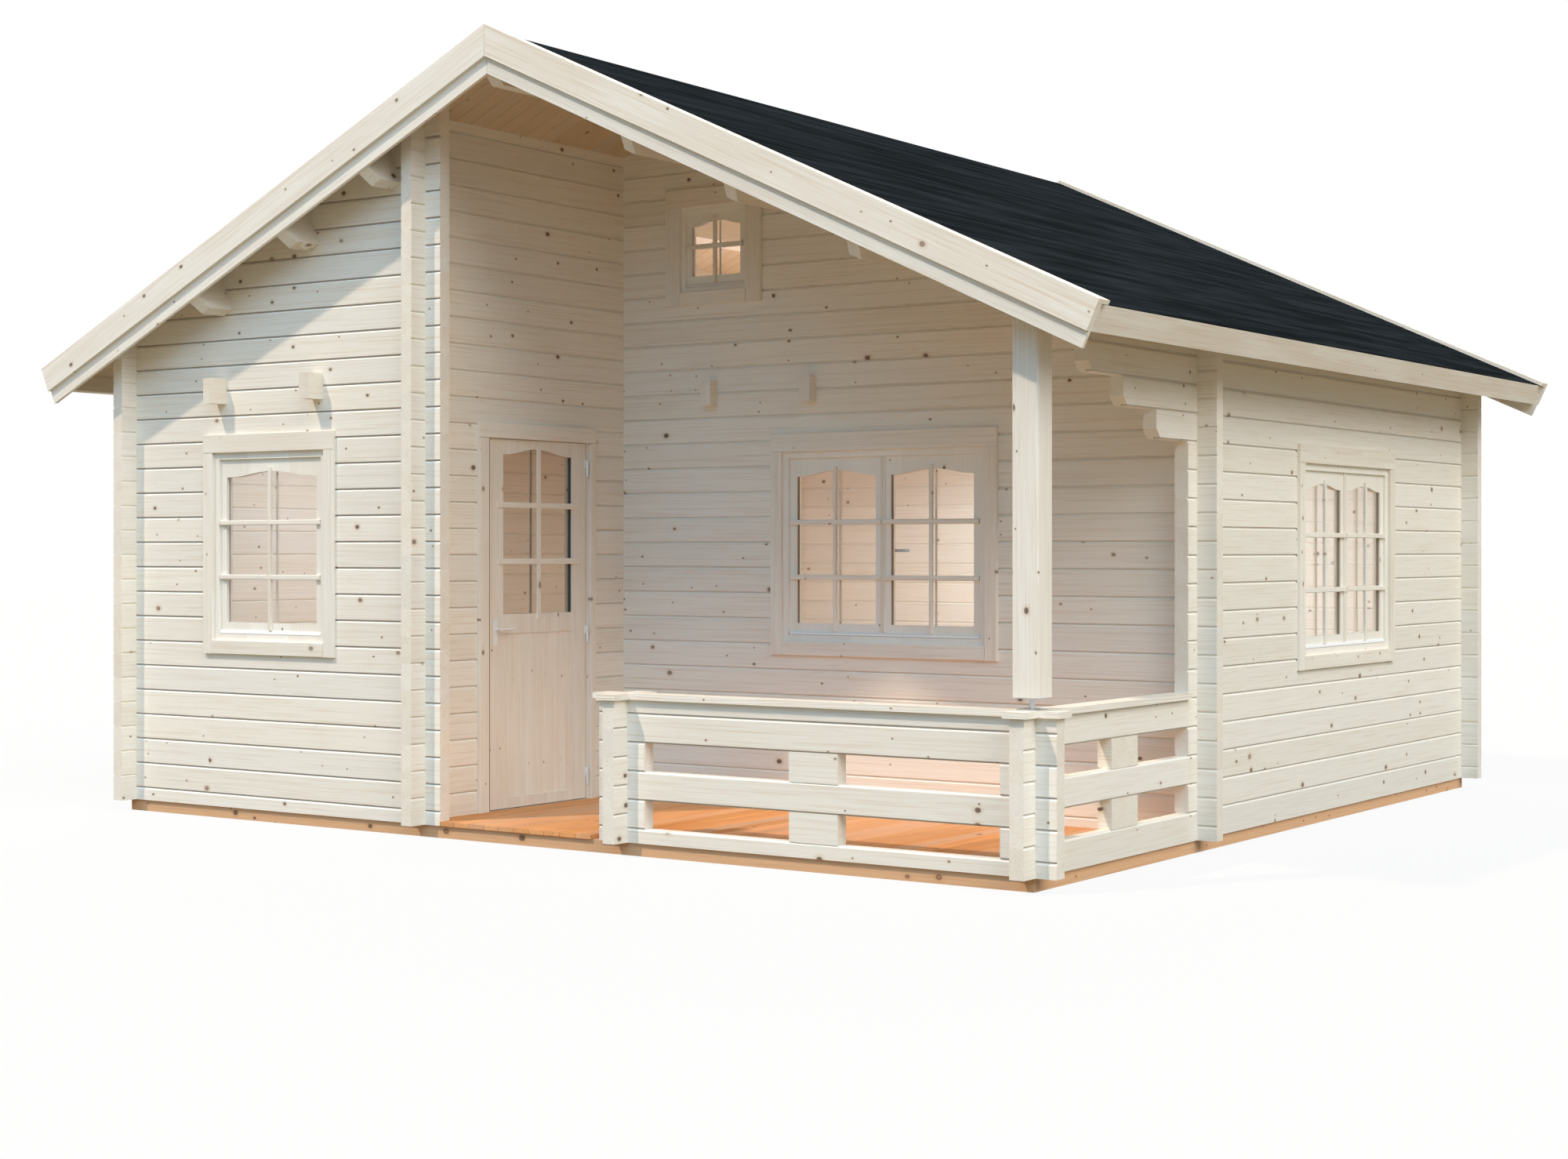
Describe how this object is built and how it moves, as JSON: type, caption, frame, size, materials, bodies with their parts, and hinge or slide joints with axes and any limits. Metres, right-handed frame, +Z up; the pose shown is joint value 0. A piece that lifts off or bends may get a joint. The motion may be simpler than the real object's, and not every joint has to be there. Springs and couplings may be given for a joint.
{
  "type": "log holiday cottage",
  "caption": "Pale notched-log holiday cottage with a railed corner porch, hinged glazed door, arched-sash windows, loft joists and a felted gable roof on purlins.",
  "frame": {"origin": "ground level at the centre of the plan", "axes": "+X to the right seen from the front, +Y from the front gable to the back gable, +Z up"},
  "size_m": [6.5494, 5.94, 3.956],
  "materials": {
    "log_wood": "pale whitewashed spruce, planed",
    "trim_wood": "pale whitewashed spruce boards",
    "base_wood": "brown impregnated timber",
    "floor_wood": "orange-brown oiled boards",
    "roof_wood": "bare spruce boards",
    "roof_felt": "mineral roofing felt",
    "steel": "zinc-coated steel",
    "glass": "clear glazing"
  },
  "bodies": {
    "cottage": {"base_side_beams": "base_wood", "base_cross_beams": "base_wood", "floor_bearers": "base_wood", "room_floor": "floor_wood", "porch_deck": "floor_wood", "front_wall": "log_wood", "left_wall": "log_wood", "right_wall": "log_wood", "back_wall": "log_wood", "porch_back_wall": "log_wood", "entrance_wall_beside_door": "log_wood", "entrance_wall_over_door": "log_wood", "loft_joists": "log_wood", "loft_floor_main": "floor_wood", "loft_floor_front": "floor_wood", "front_rail": "log_wood", "side_rail": "log_wood", "rail_end_post": "log_wood", "rail_spacers": "log_wood", "front_rail_cap": "trim_wood", "side_rail_cap": "trim_wood", "porch_post": "trim_wood", "post_foot": "steel", "eave_plates": "log_wood", "ridge_purlin": "log_wood", "purlins": "log_wood", "left_roof_boards": "roof_wood", "right_roof_boards": "roof_wood", "left_roof_felt": "roof_felt", "right_roof_felt": "roof_felt", "eave_fascias": "trim_wood", "under_barge_boards": "trim_wood", "barge_boards": "trim_wood", "verge_caps": "trim_wood", "window_casings": "trim_wood", "window_frames": "trim_wood", "window_sashes": "trim_wood", "window_panes": "glass", "door_casing": "trim_wood", "door_frame": "trim_wood", "door_frame_hinges": "steel"},
    "door": {"door_leaf": "trim_wood", "door_pane": "glass", "door_leaf_hinges": "steel", "door_handles": "steel"}
  },
  "joints": [
    {"name": "door_hinge", "type": "hinge", "parent": "cottage", "child": "door", "pos_m": [-0.606, -1.4505, 1], "axis": [0, 0, 1], "range_deg": [0, 105]}
  ]
}
